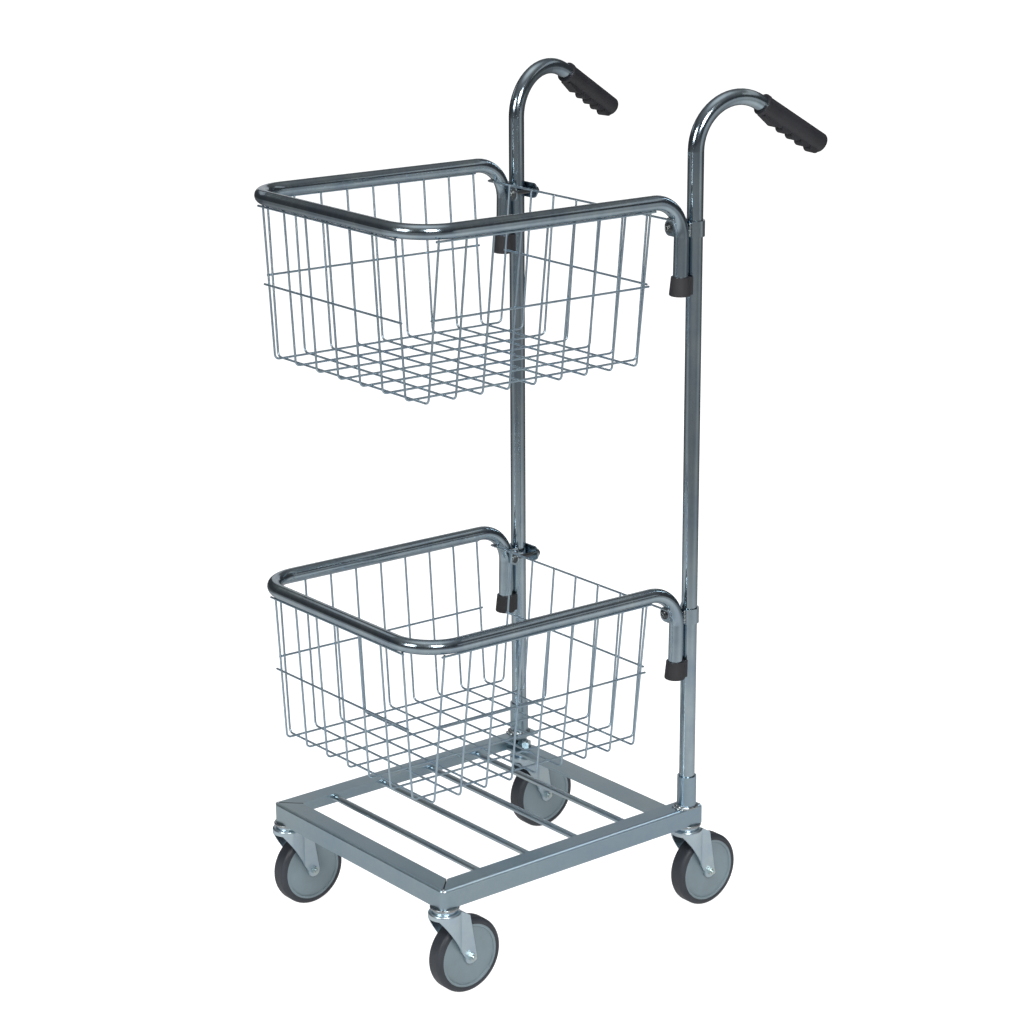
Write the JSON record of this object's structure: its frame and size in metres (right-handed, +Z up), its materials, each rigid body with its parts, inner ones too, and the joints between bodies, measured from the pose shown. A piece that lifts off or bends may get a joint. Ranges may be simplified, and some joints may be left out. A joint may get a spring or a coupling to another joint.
{
  "type": "order picking trolley",
  "caption": "Zinc-plated order picking trolley: swivel-castor base with a rod deck, uprights with hand grips, and clamped wire baskets that slide up and down.",
  "frame": {"origin": "the point on the floor under the middle of the base frame", "axes": "+Z up; +Y towards the handles at the rear; +X to the right for a person behind the handles; the basket fronts face -Y"},
  "size_m": [0.4578, 0.6811, 1.166],
  "materials": {
    "zinc_sheet": "satin zinc plate",
    "zinc_tube": "bright zinc plate",
    "zinc_rod": "bright zinc plate",
    "zinc_wire": "bright zinc plate",
    "zinc_caster": "pale zinc plate",
    "zinc_fastener": "zinc plate",
    "bearing_steel": "polished",
    "hub_plastic": "moulded grey",
    "tyre_rubber": "smooth grey rubber",
    "grip_plastic": "moulded black",
    "cap_rubber": "matt black"
  },
  "bodies": {
    "chassis": {"base_frame": "zinc_sheet", "front_cross_bar": "zinc_sheet", "rear_cross_bar": "zinc_sheet", "deck_rods": "zinc_rod", "left_socket": "zinc_sheet", "right_socket": "zinc_sheet", "left_upright": "zinc_tube", "right_upright": "zinc_tube", "left_grip": "grip_plastic", "right_grip": "grip_plastic", "kingpin_nuts": "zinc_fastener", "swivel_balls": "bearing_steel", "front_left_kingpin": "zinc_fastener", "front_left_top_race": "zinc_caster", "front_right_kingpin": "zinc_fastener", "front_right_top_race": "zinc_caster", "rear_left_kingpin": "zinc_fastener", "rear_left_top_race": "zinc_caster", "rear_right_kingpin": "zinc_fastener", "rear_right_top_race": "zinc_caster"},
    "front_left_swivel": {"front_left_fork": "zinc_caster", "front_left_axle_bolt": "zinc_fastener", "front_left_axle_nut": "zinc_fastener"},
    "front_left_wheel": {"front_left_hub": "hub_plastic", "front_left_tyre": "tyre_rubber"},
    "front_right_swivel": {"front_right_fork": "zinc_caster", "front_right_axle_bolt": "zinc_fastener", "front_right_axle_nut": "zinc_fastener"},
    "front_right_wheel": {"front_right_hub": "hub_plastic", "front_right_tyre": "tyre_rubber"},
    "rear_left_swivel": {"rear_left_fork": "zinc_caster", "rear_left_axle_bolt": "zinc_fastener", "rear_left_axle_nut": "zinc_fastener"},
    "rear_left_wheel": {"rear_left_hub": "hub_plastic", "rear_left_tyre": "tyre_rubber"},
    "rear_right_swivel": {"rear_right_fork": "zinc_caster", "rear_right_axle_bolt": "zinc_fastener", "rear_right_axle_nut": "zinc_fastener"},
    "rear_right_wheel": {"rear_right_hub": "hub_plastic", "rear_right_tyre": "tyre_rubber"},
    "lower_basket": {"lower_rim": "zinc_tube", "lower_long_wires": "zinc_wire", "lower_cross_wires": "zinc_wire", "lower_band_wires": "zinc_wire", "lower_left_cap": "cap_rubber", "lower_right_cap": "cap_rubber", "lower_left_clamp": "zinc_sheet", "lower_right_clamp": "zinc_sheet", "lower_clamp_bolts": "zinc_fastener"},
    "upper_basket": {"upper_rim": "zinc_tube", "upper_long_wires": "zinc_wire", "upper_cross_wires": "zinc_wire", "upper_band_wires": "zinc_wire", "upper_left_cap": "cap_rubber", "upper_right_cap": "cap_rubber", "upper_left_clamp": "zinc_sheet", "upper_right_clamp": "zinc_sheet", "upper_clamp_bolts": "zinc_fastener"}
  },
  "joints": [
    {"name": "front_left_swivel_turn", "type": "hinge", "parent": "chassis", "child": "front_left_swivel", "pos_m": [-0.182, -0.217, 0.122], "axis": [0, 0, 1], "continuous": true},
    {"name": "front_left_wheel_roll", "type": "hinge", "parent": "front_left_swivel", "child": "front_left_wheel", "pos_m": [-0.182, -0.185, 0.053], "axis": [1, 0, 0], "continuous": true},
    {"name": "front_right_swivel_turn", "type": "hinge", "parent": "chassis", "child": "front_right_swivel", "pos_m": [0.182, -0.217, 0.122], "axis": [0, 0, 1], "continuous": true},
    {"name": "front_right_wheel_roll", "type": "hinge", "parent": "front_right_swivel", "child": "front_right_wheel", "pos_m": [0.182, -0.185, 0.053], "axis": [1, 0, 0], "continuous": true},
    {"name": "rear_left_swivel_turn", "type": "hinge", "parent": "chassis", "child": "rear_left_swivel", "pos_m": [-0.182, 0.217, 0.122], "axis": [0, 0, 1], "continuous": true},
    {"name": "rear_left_wheel_roll", "type": "hinge", "parent": "rear_left_swivel", "child": "rear_left_wheel", "pos_m": [-0.182, 0.249, 0.053], "axis": [1, 0, 0], "continuous": true},
    {"name": "rear_right_swivel_turn", "type": "hinge", "parent": "chassis", "child": "rear_right_swivel", "pos_m": [0.182, 0.217, 0.122], "axis": [0, 0, 1], "continuous": true},
    {"name": "rear_right_wheel_roll", "type": "hinge", "parent": "rear_right_swivel", "child": "rear_right_wheel", "pos_m": [0.182, 0.249, 0.053], "axis": [1, 0, 0], "continuous": true},
    {"name": "lower_basket_height", "type": "slide", "parent": "chassis", "child": "lower_basket", "axis": [0, 0, 1], "range_m": [-0.09, 0.14]},
    {"name": "upper_basket_height", "type": "slide", "parent": "chassis", "child": "upper_basket", "axis": [0, 0, 1], "range_m": [-0.15, 0.07]}
  ]
}
